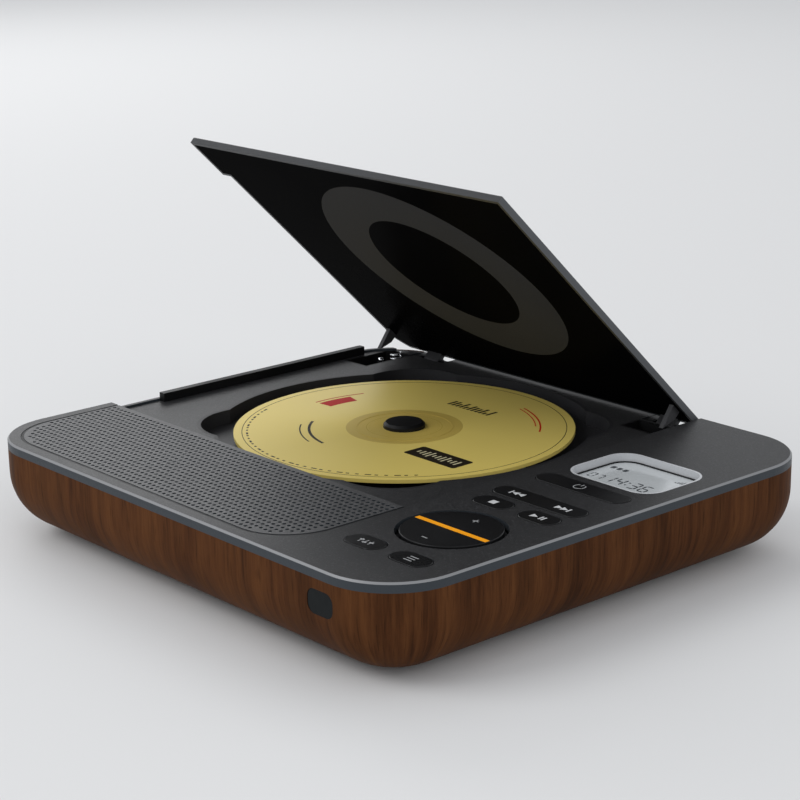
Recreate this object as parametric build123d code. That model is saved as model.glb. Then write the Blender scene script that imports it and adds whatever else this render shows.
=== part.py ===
from build123d import *
import math
import os

# Desktop disc player with a flip-up lid, in millimetres.
# The origin lies on the table at the centre of the footprint, +Y points to the back and +Z up.

# Body
body_width = 213.0
body_depth = 191.0
body_corner = 24.4
foot_height = 2.0
shell_height = 32.6
half_width = body_width / 2
half_depth = body_depth / 2
shell_wall = 4.0
shell_floor = 4.0
shell_bottom_round = 21.0
band_height = 3.2
rabbet_wall = 1.0
deck_edge_chamfer = 0.6
seat_gap = 0.2

# Deck
deck_plate = 2.4
deck_rib_depth = 5.0
recess_depth = 3.2
control_strip = 52.3
recess_right = half_width - control_strip
recess_rim_width = 1.6
recess_rim_drop = 2.4
recess_plate = 1.8

# Grille
grille_thickness = 1.0
grille_inset = 4.5
grille_left = grille_inset - half_width
grille_front = grille_inset - half_depth
grille_corner = 20.0
grille_margin = 0.15
cloth_thickness = 0.4

# Disc and its well
disc_side_inset = 75.2
disc_back_inset = 71.5
disc_x = recess_right - disc_side_inset
disc_y = half_depth - disc_back_inset
disc_radius = 60.0
disc_hole_radius = 7.5
disc_thickness = 1.2
disc_drop = 4.4
well_radius = 65.9
well_depth = 8.5
well_floor = 1.5
well_wall = 1.4
notch_radius = 19.7
notch_reach = 52.2
well_front_reach = 65.7
recess_front = disc_y - well_front_reach

# Lid
lid_thickness = 2.5
lid_under_drop = 2.1
lid_front_gap = 0.4
lid_side_gap = 0.5
lid_outer_inset = 0.1
lid_back_inset = 4.5
lid_tab_length = 19.5
lid_notch_width = 4.8
lid_front = recess_front + lid_front_gap
lid_right = recess_right - lid_side_gap
lid_left = lid_outer_inset - half_width
lid_back = half_depth - lid_back_inset
lid_notch_left = lid_left + lid_notch_width
lid_edge_chamfer = 0.35
liner_thickness = 0.9
liner_border = 1.2
ring_thickness = 0.3
ring_x = disc_x + 3.35
ring_y = disc_y - 6.9
ring_outer_radius = 49.75
ring_inner_radius = 30.4
lid_open_angle = 44.0

# Lid hinge
hinge_y = half_depth - 4.0
hinge_drop = 5.5
hinge_pin_radius = 1.2
pin_end_wall = 1.0
hinge_running_gap = 0.05
knuckle_radius = 2.3
knuckle_gap = 0.4
knuckle_width = 8.0
hinge_left_x = 26.5 - half_width
hinge_right_x = recess_right - 12.2
hinge_block_width = 18.0
hinge_block_front = half_depth - 7.8
hinge_top_drop = 3.4
hinge_floor_drop = 9.0
hinge_cover_drop = 5.1
hinge_cover_top_drop = 3.3
torsion_wire = 0.5
torsion_turns = 3
torsion_pitch = 1.1
torsion_radius = 1.65
torsion_room = 8.2
torsion_start = 4.6

# Rail and the two open bays beside the hinges
rail_left = 1.7 - half_width
rail_width = 2.8
rail_front_gap = 0.4
rail_past_bay_front = 11.6
bay_left_x0 = 5.7 - half_width
bay_left_x1 = bay_left_x0 + 13.3
bay_left_y1 = half_depth - 7.9
bay_left_y0 = bay_left_y1 - 24.6
bay_right_x1 = recess_right - 1.8
bay_right_x0 = bay_right_x1 - 19.4
bay_right_y1 = half_depth - 9.0
bay_right_y0 = bay_right_y1 - 10.0
rail_front = lid_front + lid_tab_length + rail_front_gap
rail_back = bay_left_y0 + rail_past_bay_front
bay_depth = 13.0
bay_wall = 1.0
bay_skin = 1.6
hook_width = 1.8
hook_side_gap = 0.5
hook_length = 8.9
hook_front = hinge_y - 13.3
hook_tip_y = hinge_y - 12.1
hook_waist_y = hinge_y - 9.1
hook_waist = 3.5
hook_back = hinge_y - 8.9
push_spring_wire = 0.6
push_spring_radius = 2.1
push_spring_pitch = 1.5
push_spring_turns = 3
push_spring_leg = 4.6
push_spring_x = bay_left_x0 + 6.8
push_spring_y = bay_left_y1 - 3.6
push_spring_top_drop = 2.6
spring_seat_radius = 2.6
spring_seat_gap = 0.1
guide_post_radius = 1.1
guide_post_round = 0.66
guide_post_x = bay_left_x0 + 8.8
guide_post_y = bay_left_y1 - 13.2
guide_post_drop = 2.6

deck_z = foot_height + shell_height
shell_top = deck_z - band_height
floor_z = foot_height + shell_floor
recess_z = deck_z - recess_depth
rim_z = deck_z - recess_rim_drop
lid_under_z = deck_z - lid_under_drop
hinge_z = deck_z - hinge_drop
disc_top = deck_z - disc_drop
disc_bottom = disc_top - disc_thickness
well_top = deck_z - well_depth
well_bottom = well_top - well_floor
deck_lower = recess_z - recess_plate
back_inside = half_depth - shell_wall
hinge_floor = deck_z - hinge_floor_drop
hinge_top = deck_z - hinge_top_drop
cover_left = hinge_left_x + hinge_block_width / 2
cover_right = hinge_right_x - hinge_block_width / 2
beyond = 20.0


def block(x0, x1, y0, y1, z0, z1):
    middle = Pos((x0 + x1) / 2, (y0 + y1) / 2, (z0 + z1) / 2)
    return middle * Box(x1 - x0, y1 - y0, z1 - z0)


def post(x, y, z0, z1, radius):
    return Pos(x, y, (z0 + z1) / 2) * Cylinder(radius, z1 - z0)


def bar_x(x0, x1, y, z, radius):
    return Pos((x0 + x1) / 2, y, z) * Rot(0, 90, 0) * Cylinder(radius, x1 - x0)


def bar_y(x, y0, y1, z, radius):
    return Pos(x, (y0 + y1) / 2, z) * Rot(90, 0, 0) * Cylinder(radius, y1 - y0)


def prism(sketch, z0, z1):
    return Pos(0, 0, z0) * extrude(sketch, z1 - z0)


def body_outline(inset):
    return RectangleRounded(body_width - 2 * inset, body_depth - 2 * inset, body_corner - inset)


def rounded_block(x, y, width, depth, corner, z0, z1):
    return prism(Pos(x, y) * RectangleRounded(width, depth, corner), z0, z1)


def pill(x, y, length, width, z0, z1):
    return prism(Pos(x, y) * SlotOverall(length, width), z0, z1)


def well_outline(grow):
    outline = Pos(disc_x, disc_y) * Circle(well_radius + grow)
    for quarter in range(4):
        angle = math.radians(45 + 90 * quarter)
        notch_x = disc_x + notch_reach * math.cos(angle)
        notch_y = disc_y + notch_reach * math.sin(angle)
        outline += Pos(notch_x, notch_y) * Circle(notch_radius + grow)
    return outline


def swing_open(piece):
    return piece.rotate(Axis((0, hinge_y, hinge_z), (1, 0, 0)), -lid_open_angle)


# A helix of tangent arcs, two to each quarter turn, so that the tube has no spline in it
def helix_arcs(radius, pitch, turns, x=0.0, y=0.0, z=0.0, leg=0.0):
    arcs = []
    rise = pitch / (2 * math.pi)
    slope = math.hypot(radius, rise)

    def at(quarter):
        angle = (quarter + 1) * math.pi / 2
        height = z + rise * (angle - math.pi / 2)
        point = Vector(x + radius * math.cos(angle), y + radius * math.sin(angle), height)
        along = Vector(-radius * math.sin(angle) / slope, radius * math.cos(angle) / slope, rise / slope)
        return point, along

    if leg > 0:
        start, leave = at(0)
        arcs.append(Line(start - leave * leg, start))
    for quarter in range(4 * turns):
        start, leave = at(quarter)
        end, arrive = at(quarter + 1)
        span = end - start
        a = 2 * (leave.dot(arrive) - 1)
        b = -2 * span.dot(leave + arrive)
        c = span.dot(span)
        reach = (-b - math.sqrt(b * b - 4 * a * c)) / (2 * a)
        first_corner = start + leave * reach
        second_corner = end - arrive * reach
        middle = (first_corner + second_corner) * 0.5
        arcs.append(TangentArc(start, middle, tangent=leave))
        arcs.append(TangentArc(middle, end, tangent=second_corner - first_corner))
    return arcs


def least_self_gap(path, wire, turn_length, steps=240):
    points = [path @ (step / steps) for step in range(steps + 1)]
    length = path.length
    least = length
    for first in range(steps + 1):
        for second in range(first + 1, steps + 1):
            if (second - first) / steps * length > turn_length / 2:
                least = min(least, (points[first] - points[second]).length)
    return least - wire


def wound_tube(arcs, wire, turn_length, name):
    path = Wire(arcs)
    section = Plane(origin=path @ 0, z_dir=path % 0) * Circle(wire / 2)
    print(name, "least gap between turns", round(least_self_gap(path, wire, turn_length), 3), "mm")
    return sweep(section, path=path)


# Body shell with its floor opening, cover ledge and screw posts
cover_inset = 31.5
cover_width = body_width - 2 * cover_inset
cover_depth = body_depth - 2 * cover_inset
cover_corner = 14.0
cover_thickness = 2.0
cover_ledge = 5.0
cover_gap = 0.2
cover_screw_side_inset = 19.0
cover_screw_x = (cover_screw_side_inset - cover_width / 2, 0.0, cover_width / 2 - cover_screw_side_inset)
cover_screw_inset = 2.5
cover_screw_y = cover_depth / 2 - cover_screw_inset
screw_radius = 1.1
screw_hole_radius = 1.25
screw_head_radius = 2.4
screw_head_height = 1.2
screw_length = 5.5
deck_boss_radius = 3.4
deck_stud_radius = 2.6
deck_boss_drop = 3.0
deck_boss_height = 5.0
deck_boss_inset = 7.0
deck_boss_left_y = (35.5 - half_depth, half_depth - 55.5)
deck_boss_right_y = (37.5 - half_depth, half_depth - 31.5)
deck_thread_depth = 3.8
deck_screw_length = 9.0
foot_radius = 7.0
foot_recess = 0.8
foot_x = cover_width / 2 - 13.0
foot_y = cover_depth / 2 - 14.0
window_x = half_width - 28.7
window_width = 11.5
window_height = 7.8
window_corner = 3.0
window_lip = 1.5
window_centre_drop = 10.4
window_thickness = 2.0
port_x = half_width - 38.5
port_width = 28.0
port_height = 10.0
port_corner = 2.5
port_lip = 2.0
port_relief = 1.0
port_thickness = 2.0
port_inset = 1.3
port_z = 21.4
jack_offset = -7.0
jack_radius = 1.75
jack_width = 6.0
jack_length = 12.0
jack_end_wall = 1.0
usb_offset = 7.0
usb_width = 9.0
usb_height = 3.2
usb_length = 7.4
usb_wall = 0.35
usb_tongue = 0.7
usb_tongue_half = 3.3
usb_tongue_inset = 1.0
usb_foot_half = 2.9
usb_flat = 0.1
port_board_thickness = 1.2
port_board_depth = 17.0
port_board_side = 1.0
port_board_gap = 1.5
port_post_radius = 2.5
port_post_inset = 4.0
port_post_y = half_depth - 18.5

board_pillar_radius = 2.5
board_pillar_inset = 5.0
main_board_x0 = -64.0
main_board_x1 = 16.0
main_board_y0 = -22.0
main_board_y1 = 38.0
main_board_lift = 4.0
main_board_thickness = 1.6

cover_z = foot_height + cover_thickness
main_board_bottom = cover_z + main_board_lift
main_board_top = main_board_bottom + main_board_thickness
main_board_posts = [(x, y) for x in (main_board_x0 + board_pillar_inset, main_board_x1 - board_pillar_inset)
                    for y in (main_board_y0 + board_pillar_inset, main_board_y1 - board_pillar_inset)]
cover_screw_places = [(x, side * cover_screw_y) for x in cover_screw_x for side in (-1, 1)]
boss_x = half_width - deck_boss_inset
boss_top = deck_lower - deck_boss_drop
deck_boss_places = [(-boss_x, y) for y in deck_boss_left_y] + [(boss_x, y) for y in deck_boss_right_y]
window_z = deck_z - window_centre_drop
port_face = half_depth - port_inset
port_back = port_face - port_thickness
port_board_top = port_z - jack_width / 2
port_board_bottom = port_board_top - port_board_thickness
port_post_places = [(port_x + side * (port_width / 2 - port_post_inset), port_post_y) for side in (-1, 1)]


def upright(x, width, height, corner, z, y0, y1):
    sketch = Plane.XZ * (Pos(x, z) * RectangleRounded(width, height, corner))
    return Pos(0, y1, 0) * extrude(sketch, y1 - y0)


def hinge_bays(shrink):
    floor = deck_z - bay_depth
    left = block(bay_left_x0 + shrink, bay_left_x1 - shrink, bay_left_y0 + shrink, bay_left_y1 - shrink,
                 floor + shrink, deck_z)
    left &= prism(body_outline(bay_skin + shrink), floor, deck_z)
    right = block(bay_right_x0 + shrink, bay_right_x1 - shrink, bay_right_y0 + shrink,
                  bay_right_y1 - shrink, floor + shrink, deck_z)
    return left, right


def knuckle_zone(x):
    half = hinge_block_width / 2
    return block(x - half, x + half, hinge_block_front, half_depth + beyond, hinge_floor, deck_z + beyond)


def wood_shell():
    shell = prism(body_outline(0), foot_height, shell_top)
    shell = fillet(shell.edges().group_by(Axis.Z)[0], shell_bottom_round)
    inside = prism(body_outline(shell_wall), floor_z, shell_top + beyond)
    inside = fillet(inside.edges().group_by(Axis.Z)[0], shell_bottom_round - shell_wall)
    shell -= inside
    shell -= prism(body_outline(rabbet_wall), deck_lower, shell_top)
    ledge_corner = cover_corner - cover_ledge
    shell -= rounded_block(0, 0, cover_width - 2 * cover_ledge, cover_depth - 2 * cover_ledge,
                           ledge_corner, -beyond, floor_z + beyond)
    shell -= rounded_block(0, 0, cover_width, cover_depth, cover_corner, -beyond, cover_z)
    for x, y in cover_screw_places:
        shell -= post(x, y, 0, floor_z + beyond, screw_hole_radius)
    shell -= upright(window_x, window_width, window_height, window_corner, window_z,
                     -half_depth - beyond, -half_depth + window_thickness)
    shell -= upright(window_x, window_width - 2 * window_lip, window_height - 2 * window_lip,
                     window_corner - window_lip, window_z, -half_depth - beyond, -half_depth + beyond)
    shell -= upright(port_x, port_width, port_height, port_corner, port_z, port_back, half_depth + beyond)
    shell -= upright(port_x, port_width - port_lip, port_height - port_lip, port_corner - port_lip / 2,
                     port_z, back_inside - port_relief, half_depth + beyond)
    for x, y in deck_boss_places:
        shell += post(x, y, boss_top - deck_boss_height, boss_top, deck_boss_radius)
        shell -= post(x, y, boss_top - deck_boss_height, boss_top, screw_hole_radius)
    for x, y in port_post_places:
        shell += post(x, y, floor_z, port_board_bottom, port_post_radius)
    shell -= knuckle_zone(hinge_left_x)
    shell -= knuckle_zone(hinge_right_x)
    shell -= block(cover_left, cover_right, back_inside, half_depth + beyond,
                   deck_z - hinge_cover_drop, deck_z)
    for bay in hinge_bays(0):
        shell -= bay
    return shell


def bottom_cover():
    cover = rounded_block(0, 0, cover_width - 2 * cover_gap, cover_depth - 2 * cover_gap,
                          cover_corner - cover_gap, foot_height, cover_z)
    for x, y in cover_screw_places:
        cover -= post(x, y, 0, cover_z + beyond, screw_hole_radius)
        cover -= post(x, y, foot_height, foot_height + screw_head_height, screw_head_radius + cover_gap)
    for x, y in main_board_posts:
        cover += post(x, y, cover_z, main_board_bottom, board_pillar_radius)
    return cover - rubber_feet()


def rubber_feet():
    feet = Part()
    for sx in (-1, 1):
        for sy in (-1, 1):
            feet += post(sx * foot_x, sy * foot_y, 0, foot_height + foot_recess, foot_radius)
    return feet


def screw(x, y, head_z, length):
    head = post(x, y, head_z, head_z + screw_head_height, screw_head_radius)
    return head + post(x, y, head_z + screw_head_height, head_z + length, screw_radius)


def cover_screws():
    screws = Part()
    for x, y in cover_screw_places:
        screws += screw(x, y, foot_height, screw_length)
    return screws


def deck_screws():
    screws = Part()
    for x, y in deck_boss_places:
        screws += screw(x, y, boss_top - deck_boss_height - screw_head_height, deck_screw_length)
    return screws


def infrared_window():
    return upright(window_x, window_width, window_height, window_corner, window_z,
                   -half_depth + seat_gap, -half_depth + window_thickness)


# Controls, all in the strip to the right of the lid
pill_length = 15.0
pill_width = 8.4
long_pill_length = 38.0
button_gap = 0.25
button_proud = 0.2
button_travel = 0.8
flange_grow = 0.6
flange_thickness = 0.8
flange_gap = 0.1
stem_radius = 1.5
stem_length = 1.6
switch_gap = 0.1
switch_width = 5.0
switch_height = 2.2
switch_radius = 1.0
switch_corner = 0.5
left_column = recess_right + 15.5
right_column = recess_right + 35.5
middle_column = recess_right + 24.8
front_row = 24.5 - half_depth
stop_row = 76.3 - half_depth
skip_row = 87.2 - half_depth
power_row = 106.0 - half_depth
button_rows = {
    "eq_button": (left_column, front_row),
    "menu_button": (right_column, front_row),
    "stop_button": (left_column, stop_row),
    "play_pause_button": (right_column, stop_row),
}
volume_x = recess_right + 24.7
volume_y = 50.3 - half_depth
volume_radius = 15.8
volume_groove = 1.5
volume_flange_gap = 0.4
volume_stem_y = 10.3
light_length = 31.0
light_width = 2.0
light_depth = 1.2
pivot_radius = 1.1
pivot_gap = 0.05
pivot_drop = 4.2
hanger_gap = 0.1
hanger_width = 1.0
hanger_half = 1.9
hanger_below = 1.5
skip_stem_x = 11.0
board_left_x = recess_right + 2.8
board_right_x = half_width - 11.0
board_front_y = 16.5 - half_depth
board_back_y = 145.5 - half_depth
board_thickness = 1.6
board_post_radius = 1.6
board_post_inset = 1.8
board_post_places = [(board_left_x + board_post_inset, board_front_y + 17.0),
                     (board_left_x + board_post_inset, board_front_y + 80.1),
                     (board_right_x - 1.5, board_front_y + 80.1), (board_right_x - 1.2, board_front_y + 51.5)]
plate_bottom = deck_z - deck_plate
flange_top = plate_bottom - flange_gap
flange_bottom = flange_top - flange_thickness
stem_bottom = flange_bottom - stem_length
switch_top = stem_bottom - button_travel - switch_gap
board_top = switch_top - switch_height
pivot_z = deck_z - pivot_drop

# Display
display_x = recess_right + 25.8
display_y = 129.5 - half_depth
display_width = 38.0
display_depth = 30.5
display_corner = 8.0
display_wall = 0.8
display_drop = 2.8
panel_thickness = 1.6
bezel_flange = 1.4


def button_hole(x, y, length):
    return pill(x, y, length + 2 * button_gap, pill_width + 2 * button_gap,
                plate_bottom - beyond, deck_z + beyond)


def pill_cap(x, y, length):
    cap = pill(x, y, length, pill_width, flange_bottom, deck_z + button_proud)
    return chamfer(cap.edges().group_by(Axis.Z)[-1], button_proud)


def push_button(x, y, length):
    button = pill_cap(x, y, length)
    button += pill(x, y, length + 2 * flange_grow, pill_width + 2 * flange_grow, flange_bottom, flange_top)
    return button + post(x, y, stem_bottom, flange_bottom, stem_radius)


def skip_rocker():
    rocker = pill_cap(middle_column, skip_row, long_pill_length)
    for side in (-1, 1):
        rocker += post(middle_column + side * skip_stem_x, skip_row, stem_bottom, flange_bottom, stem_radius)
    pin_half = pill_width / 2 + flange_grow + hanger_gap + hanger_width
    rocker += block(middle_column - pivot_radius, middle_column + pivot_radius, skip_row - pill_width / 2,
                    skip_row + pill_width / 2, pivot_z, flange_bottom)
    return rocker + bar_y(middle_column, skip_row - pin_half, skip_row + pin_half, pivot_z, pivot_radius)


def light_bar():
    top = deck_z + button_proud
    return block(volume_x - light_length / 2, volume_x + light_length / 2, volume_y - light_width / 2,
                 volume_y + light_width / 2, top - light_depth, top)


def volume_rocker():
    flange_radius = volume_radius + volume_groove - volume_flange_gap
    rocker = post(volume_x, volume_y, flange_bottom, deck_z + button_proud, volume_radius)
    rocker = chamfer(rocker.edges().group_by(Axis.Z)[-1], button_proud)
    rocker += post(volume_x, volume_y, flange_bottom, flange_top, flange_radius)
    rocker -= light_bar()
    for side in (-1, 1):
        rocker += post(volume_x, volume_y + side * volume_stem_y, stem_bottom, flange_bottom, stem_radius)
    pin_half = volume_radius + volume_groove + hanger_gap + hanger_width
    rocker += block(volume_x - volume_radius, volume_x + volume_radius, volume_y - pivot_radius,
                    volume_y + pivot_radius, pivot_z, flange_bottom)
    return rocker + bar_x(volume_x - pin_half, volume_x + pin_half, volume_y, pivot_z, pivot_radius)


def pivot_hangers():
    hangers = Part()
    bottom = pivot_z - hanger_below
    hole = pivot_radius + pivot_gap
    near = pill_width / 2 + flange_grow + hanger_gap
    for side in (-1, 1):
        y0, y1 = sorted((skip_row + side * near, skip_row + side * (near + hanger_width)))
        hangers += block(middle_column - hanger_half, middle_column + hanger_half, y0, y1,
                         bottom, plate_bottom)
    hangers -= bar_y(middle_column, skip_row - beyond, skip_row + beyond, pivot_z, hole)
    near = volume_radius + volume_groove + hanger_gap
    for side in (-1, 1):
        x0, x1 = sorted((volume_x + side * near, volume_x + side * (near + hanger_width)))
        hangers += block(x0, x1, volume_y - hanger_half, volume_y + hanger_half, bottom, plate_bottom)
    return hangers - bar_x(volume_x - 2 * beyond, volume_x + 2 * beyond, volume_y, pivot_z, hole)


def switch_places():
    places = [place for place in button_rows.values()]
    places.append((middle_column, power_row))
    for side in (-1, 1):
        places.append((middle_column + side * skip_stem_x, skip_row))
        places.append((volume_x, volume_y + side * volume_stem_y))
    return places


def tact_switches():
    switches = Part()
    for x, y in switch_places():
        body_top = switch_top - switch_height / 3
        switches += rounded_block(x, y, switch_width, switch_width, switch_corner, board_top, body_top)
        switches += post(x, y, body_top, switch_top, switch_radius)
    return switches


def button_board():
    return block(board_left_x, board_right_x, board_front_y, board_back_y,
                 board_top - board_thickness, board_top)


def lcd_bezel():
    bezel = rounded_block(display_x, display_y, display_width, display_depth, display_corner,
                          deck_z - display_drop - panel_thickness, deck_z)
    bezel += rounded_block(display_x, display_y, display_width + 2 * bezel_flange,
                           display_depth + 2 * bezel_flange, display_corner + bezel_flange,
                           plate_bottom - flange_thickness, plate_bottom)
    return bezel - rounded_block(display_x, display_y, display_width - 2 * display_wall,
                                 display_depth - 2 * display_wall, display_corner - display_wall,
                                 deck_z - beyond, deck_z + beyond)


def lcd_panel():
    return rounded_block(display_x, display_y, display_width - 2 * display_wall,
                         display_depth - 2 * display_wall, display_corner - display_wall,
                         deck_z - display_drop - panel_thickness, deck_z - display_drop)


# Speakers below the grille
speaker_side_inset = 36.0
speaker_right_inset = 36.2
speaker_forward = 0.15
speaker_room = 2.65
speaker_rim = 2.5
speaker_places = (grille_left + speaker_side_inset, recess_right - speaker_right_inset)
speaker_y = (grille_front + recess_front) / 2 - speaker_forward
speaker_flange_radius = (recess_front - grille_front) / 2 - speaker_room
speaker_radius = speaker_flange_radius - speaker_rim
speaker_flange = 1.2
speaker_throat_radius = speaker_radius - 7.5
speaker_depth = 11.0
basket_wall = 0.8
surround_width = 3.0
surround_height = 1.0
cone_thickness = 0.5
dust_cap_radius = speaker_throat_radius / 2
dust_cap_height = 1.5
magnet_radius = speaker_throat_radius + 1.0
magnet_height = 5.5
grille_ledge = 2.5
control_margin = 1.5
control_front_margin = 14.0
control_back_margin = 22.0

grille_bottom = deck_z - grille_thickness


def grille_outline(shrink):
    width = recess_right - grille_left - 2 * shrink
    depth = recess_front - grille_front - 2 * shrink
    sheet = Pos((grille_left + recess_right) / 2, (grille_front + recess_front) / 2) * Rectangle(width, depth)
    front_corners = sheet.vertices().group_by(Axis.Y)[0]
    return fillet(front_corners, grille_corner - shrink)


def top_deck():
    deck = prism(body_outline(0), shell_top, deck_z)
    deck = chamfer(deck.edges().group_by(Axis.Z)[-1], deck_edge_chamfer)
    deck += prism(body_outline(rabbet_wall + seat_gap), deck_lower, shell_top)
    # the recess that the closed lid lies in, with a low rim round it
    recess = block(-half_width - beyond, recess_right, recess_front, half_depth + beyond,
                   deck_lower, deck_z + beyond)
    deck -= recess & prism(body_outline(recess_rim_width), recess_z, deck_z + beyond)
    deck -= recess & block(-half_width - beyond, half_width, -half_depth, half_depth + beyond,
                           rim_z, deck_z + beyond)
    deck -= block(-half_width, recess_right, hinge_block_front, half_depth + beyond,
                  recess_z, deck_z + beyond)
    deck -= prism(well_outline(well_wall), deck_lower - beyond, recess_z) & block(
        -half_width, half_width, recess_front - well_wall, half_depth, deck_lower - beyond, recess_z)
    # the speaker openings below the grille
    deck -= prism(grille_outline(0), grille_bottom, deck_z + beyond)
    deck -= prism(grille_outline(grille_ledge), grille_bottom - cloth_thickness, deck_z + beyond)
    for x in speaker_places:
        deck -= post(x, speaker_y, deck_lower - beyond, deck_z, speaker_radius)
    # the thin plate over the controls
    deck -= block(recess_right + control_margin, half_width - shell_wall - seat_gap - control_margin,
                  -half_depth + control_front_margin, half_depth - control_back_margin,
                  deck_lower - beyond, plate_bottom)
    for x, y in button_rows.values():
        deck -= button_hole(x, y, pill_length)
    deck -= button_hole(middle_column, power_row, long_pill_length)
    deck -= button_hole(middle_column, skip_row, long_pill_length)
    deck -= post(volume_x, volume_y, deck_lower, deck_z + beyond, volume_radius + volume_groove)
    deck -= rounded_block(display_x, display_y, display_width, display_depth, display_corner,
                          deck_lower - beyond, deck_z + beyond)
    # the hinge zone along the back edge
    deck -= block(cover_left, cover_right, back_inside, half_depth + beyond, deck_lower - beyond, deck_z)
    deck -= knuckle_zone(hinge_left_x)
    deck -= knuckle_zone(hinge_right_x)
    for bay in hinge_bays(0):
        deck -= bay
    for x, y in deck_boss_places:
        boss_ceiling = deck_lower if x < 0 else plate_bottom
        deck += post(x, y, boss_top, boss_ceiling, deck_stud_radius)
        deck -= post(x, y, boss_top, boss_top + deck_thread_depth, screw_hole_radius)
    for x, y in board_post_places:
        deck += post(x, y, board_top, plate_bottom, board_post_radius)
    return deck + pivot_hangers()


def speaker_grille():
    return prism(grille_outline(grille_margin), grille_bottom, deck_z)


def grille_cloth():
    return prism(grille_outline(grille_ledge + grille_margin), grille_bottom - cloth_thickness, grille_bottom)


def turned(points, x, y):
    profile = make_face(Plane.XZ * Polyline(*points, close=True))
    return Pos(x, y, 0) * revolve(profile, Axis.Z)


def speaker_frames():
    frames = Part()
    top = deck_lower
    low = top - speaker_depth
    for x in speaker_places:
        frames += turned([(speaker_radius, top), (speaker_flange_radius, top),
                          (speaker_flange_radius, top - speaker_flange),
                          (speaker_radius, top - speaker_flange),
                          (speaker_throat_radius + basket_wall, low), (0, low), (0, low + basket_wall),
                          (speaker_throat_radius, low + basket_wall),
                          (speaker_radius - basket_wall, top - speaker_flange)], x, speaker_y)
    return frames


def speaker_surrounds():
    rings = Part()
    base = deck_lower - speaker_flange
    outer = speaker_radius - basket_wall
    inner = outer - surround_width
    for x in speaker_places:
        rings += turned([(inner, base), (outer, base), (outer, base + surround_height / 2),
                         ((inner + outer) / 2, base + surround_height), (inner, base + surround_height / 2)],
                        x, speaker_y)
    return rings


def speaker_cones():
    cones = Part()
    top = deck_lower - speaker_flange + surround_height / 2
    rim = speaker_radius - basket_wall - surround_width
    low = top - speaker_depth / 2
    cap = low + dust_cap_height
    for x in speaker_places:
        cones += turned([(rim, top), (dust_cap_radius, low), (0, cap), (0, cap - cone_thickness),
                         (dust_cap_radius, low - cone_thickness), (rim, top - cone_thickness)], x, speaker_y)
    return cones


def speaker_magnets():
    magnets = Part()
    top = deck_lower - speaker_depth
    for x in speaker_places:
        magnets += post(x, speaker_y, top - magnet_height, top, magnet_radius)
    return magnets


# Disc drive below the well
hub_radius = 7.35
hub_rise = 2.0
hub_flange_radius = 13.0
hub_flange = 1.8
hub_hole_radius = 8.0
shaft_radius = 1.0
shaft_room = 1.0
shaft_seat = 1.0
shaft_end_gap = 0.2
hub_edge_chamfer = 0.9
pawl_count = 3
pawl_width = 2.2
pawl_height = 1.2
pawl_lift = 0.5
pawl_depth = 2.0
pawl_proud = 0.08
damper_height = 4.0
damper_radius = 3.6
damper_bore = 1.3
chassis_thickness = 1.2
chassis_back = -24.0
chassis_front = 65.0
chassis_half_depth = 34.0
damper_x = (-18.0, 30.0)
damper_y = 29.0
motor_radius = 10.0
motor_height = 6.0
motor_shaft_gap = 0.05
window_x0 = 13.2
window_x1 = 61.0
window_half = 16.0
slot_half = 10.0
bracket_thickness = 2.4
bracket_gap = 0.2
rail_offset = 11.0
rail_radius = 1.0
screw_rod_radius = 1.05
screw_rod_end = 2.0
screw_end_gap = 0.4
rod_drop = 2.0
rod_gap = 0.05
sled_reach = 20.0
sled_half_length = 6.4
sled_half_width = 14.2
sled_lower = 3.4
sled_head_half = 8.5
sled_head_back = -3.0
sled_clearance = 0.3
sled_top_gap = 1.4
lens_offset = 4.0
lens_radius = 2.6
lens_height = 0.7
lens_edge_round = 0.56
sled_travel = 34.0
sled_motor_radius = 5.0
sled_motor_length = 8.5
sled_motor_plate = 1.2
sled_motor_start = 67.6

hub_top = disc_top + hub_rise
chassis_top = well_bottom - damper_height
chassis_bottom = chassis_top - chassis_thickness
rod_z = well_bottom - rod_drop
sled_x = disc_x + sled_reach
sled_bottom = chassis_top + sled_clearance
sled_shoulder = sled_bottom + sled_lower
sled_top = disc_bottom - sled_top_gap
motor_bottom = chassis_bottom - motor_height


def disc_well():
    outer = prism(well_outline(well_wall), well_bottom, recess_z)
    outer &= block(-half_width, half_width, recess_front - well_wall, half_depth, well_bottom, recess_z)
    well = outer - prism(well_outline(0), well_top, recess_z + beyond)
    well -= post(disc_x, disc_y, well_bottom - beyond, well_top + beyond, hub_hole_radius)
    well -= block(disc_x + window_x0, disc_x + window_x1 + bracket_thickness, disc_y - slot_half,
                  disc_y + slot_half, well_bottom - beyond, well_top + beyond)
    return well


def damper_places():
    return [(disc_x + x, disc_y + side * damper_y) for x in damper_x for side in (-1, 1)]


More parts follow.
